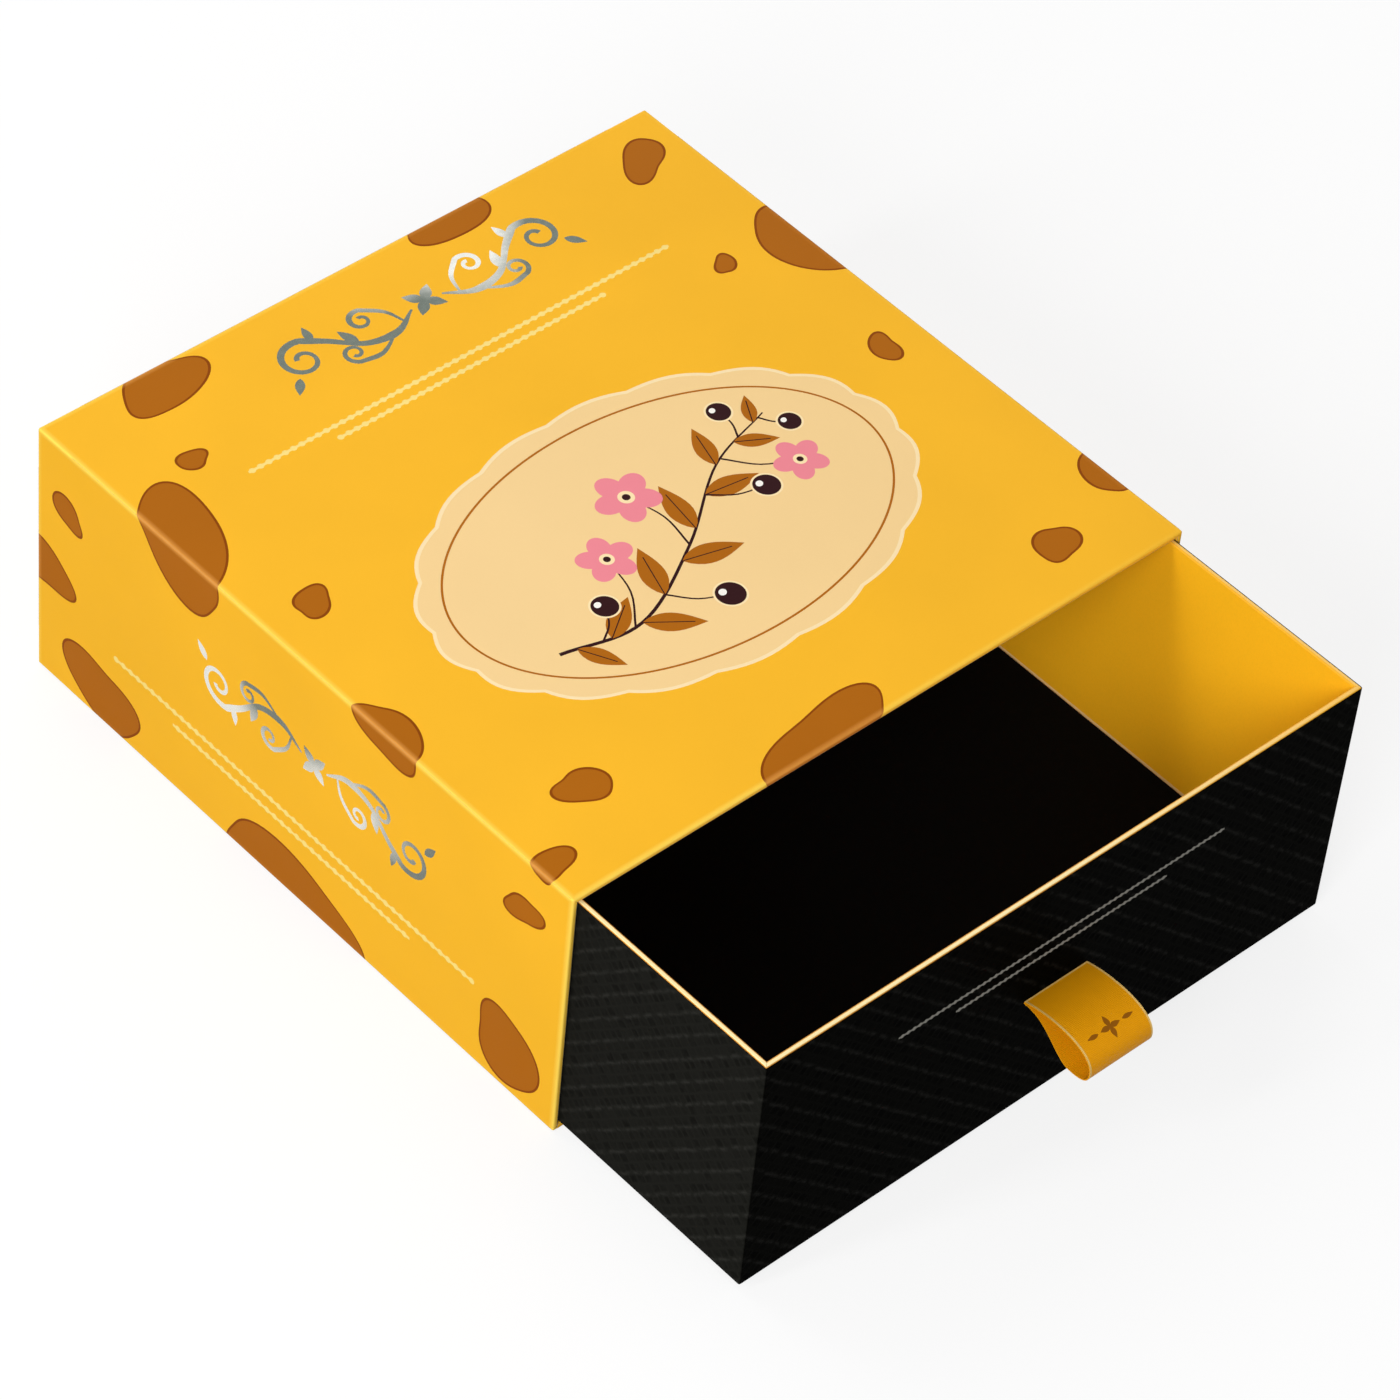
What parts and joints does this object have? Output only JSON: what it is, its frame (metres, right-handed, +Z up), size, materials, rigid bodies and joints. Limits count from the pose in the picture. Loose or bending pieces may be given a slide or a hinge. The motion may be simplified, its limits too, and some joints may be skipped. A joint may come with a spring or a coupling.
{
  "type": "sliding drawer gift box",
  "caption": "Rigid paperboard gift box: a printed sleeve closed at the back, and a lined drawer that slides out of it by a ribbon loop.",
  "frame": {"origin": "the middle of the sleeve's underside, on the surface that the box stands on", "axes": "+Z is up, +Y points to the sleeve's closed back, the drawer slides out along -Y, and +X is to the right as seen from the drawer's front"},
  "size_m": [0.2, 0.2872, 0.082],
  "materials": {
    "printed_paper": "matte-laminated art paper, printed yellow",
    "yellow_lining": "uncoated yellow lining paper",
    "black_paper": "black paper with a fine diagonal emboss, satin",
    "black_card": "black card, matte",
    "greyboard": "raw recycled greyboard",
    "kraft_tape": "gummed kraft tape",
    "ribbon": "woven ribbon, soft satin sheen"
  },
  "bodies": {
    "sleeve": {"sleeve_top_board": "greyboard", "sleeve_bottom_board": "greyboard", "sleeve_left_board": "greyboard", "sleeve_right_board": "greyboard", "sleeve_back_board": "greyboard", "sleeve_edge_tapes": "kraft_tape", "sleeve_back_tapes": "kraft_tape", "sleeve_wrap": "printed_paper", "sleeve_base_sheet": "printed_paper", "sleeve_back_sheet": "printed_paper", "sleeve_lining": "yellow_lining", "sleeve_back_lining": "yellow_lining"},
    "drawer": {"drawer_base_board": "greyboard", "drawer_front_board": "greyboard", "drawer_back_board": "greyboard", "drawer_left_board": "greyboard", "drawer_right_board": "greyboard", "drawer_corner_stays": "kraft_tape", "drawer_wrap": "black_paper", "drawer_bottom_sheet": "black_paper", "drawer_lining": "yellow_lining", "drawer_floor_card": "black_card", "ribbon_pull": "ribbon", "ribbon_anchor_tape": "kraft_tape"}
  },
  "joints": [
    {"name": "drawer_slide", "type": "slide", "parent": "sleeve", "child": "drawer", "axis": [0, -1, 0], "range_m": [-0.064, 0.14]}
  ]
}
